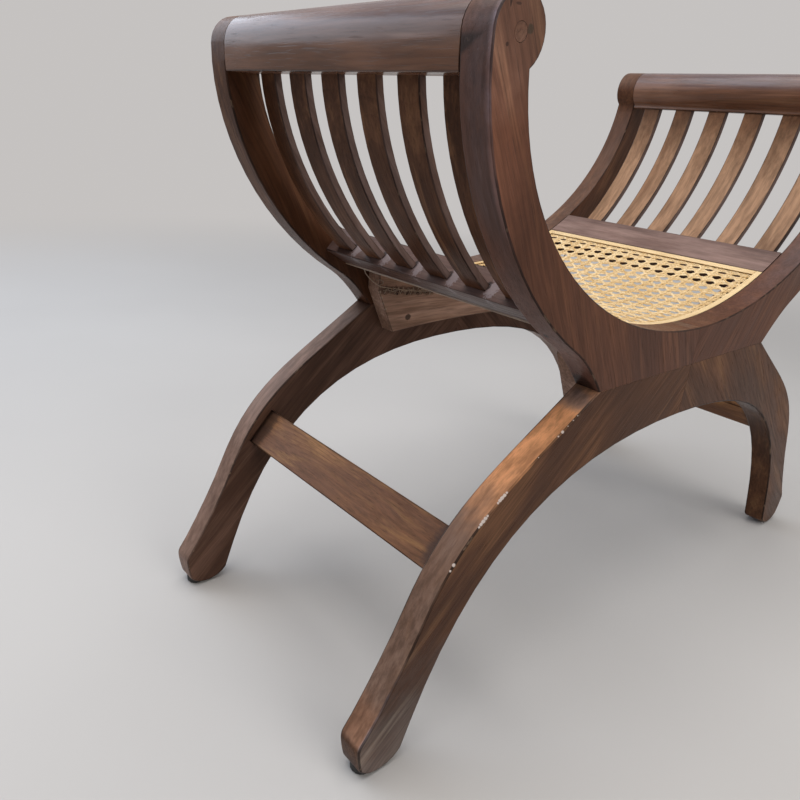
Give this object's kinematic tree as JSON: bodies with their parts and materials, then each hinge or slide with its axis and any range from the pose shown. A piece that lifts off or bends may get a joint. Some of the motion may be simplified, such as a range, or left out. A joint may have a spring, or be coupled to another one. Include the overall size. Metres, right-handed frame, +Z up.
{
  "type": "stool",
  "caption": "Curule stool of curved teak boards: scrolled slatted arms at both ends, a slung woven cane seat and splayed bow legs joined by flat stretchers.",
  "frame": {"origin": "on the floor under the middle of the seat", "axes": "+X from one slatted arm to the other, +Y from the front frame to the back frame, +Z up"},
  "size_m": [0.865, 0.37, 0.6419],
  "materials": {
    "arm_wood": "reddish brown teak, satin lacquer",
    "leg_wood": "brown teak, satin lacquer, worn at the corners",
    "rail_wood": "brown teak, satin lacquer",
    "slat_wood": "dark brown teak, satin lacquer",
    "dowel_wood": "plain turned wood",
    "cane": "pale split cane, semi-gloss",
    "screw_steel": "dull steel",
    "glide_rubber": "matt black"
  },
  "bodies": {
    "root": {"front_left_arm": "arm_wood", "front_left_leg": "leg_wood", "front_right_arm": "arm_wood", "front_right_leg": "leg_wood", "back_left_arm": "arm_wood", "back_left_leg": "leg_wood", "back_right_arm": "arm_wood", "back_right_leg": "leg_wood", "left_top_rail": "rail_wood", "left_lower_rail": "rail_wood", "left_slat_1": "slat_wood", "left_slat_2": "slat_wood", "left_slat_3": "slat_wood", "left_slat_4": "slat_wood", "left_slat_5": "slat_wood", "left_slat_6": "slat_wood", "left_stretcher": "leg_wood", "right_top_rail": "rail_wood", "right_lower_rail": "rail_wood", "right_slat_1": "slat_wood", "right_slat_2": "slat_wood", "right_slat_3": "slat_wood", "right_slat_4": "slat_wood", "right_slat_5": "slat_wood", "right_slat_6": "slat_wood", "right_stretcher": "leg_wood", "front_seat_cleat": "rail_wood", "back_seat_cleat": "rail_wood", "cane_seat": "cane", "front_cane_binder": "cane", "back_cane_binder": "cane", "left_cane_binder": "cane", "right_cane_binder": "cane", "front_left_top_rail_dowel": "dowel_wood", "front_left_lower_rail_dowel": "dowel_wood", "front_left_waist_dowel": "dowel_wood", "front_left_cleat_screw": "screw_steel", "front_right_top_rail_dowel": "dowel_wood", "front_right_lower_rail_dowel": "dowel_wood", "front_right_waist_dowel": "dowel_wood", "front_right_cleat_screw": "screw_steel", "back_left_top_rail_dowel": "dowel_wood", "back_left_lower_rail_dowel": "dowel_wood", "back_left_waist_dowel": "dowel_wood", "back_left_cleat_screw": "screw_steel", "back_right_top_rail_dowel": "dowel_wood", "back_right_lower_rail_dowel": "dowel_wood", "back_right_waist_dowel": "dowel_wood", "back_right_cleat_screw": "screw_steel", "front_arm_dowel": "dowel_wood", "front_leg_dowel": "dowel_wood", "back_arm_dowel": "dowel_wood", "back_leg_dowel": "dowel_wood", "front_left_foot_glide": "glide_rubber", "front_right_foot_glide": "glide_rubber", "back_left_foot_glide": "glide_rubber", "back_right_foot_glide": "glide_rubber"}
  },
  "joints": []
}
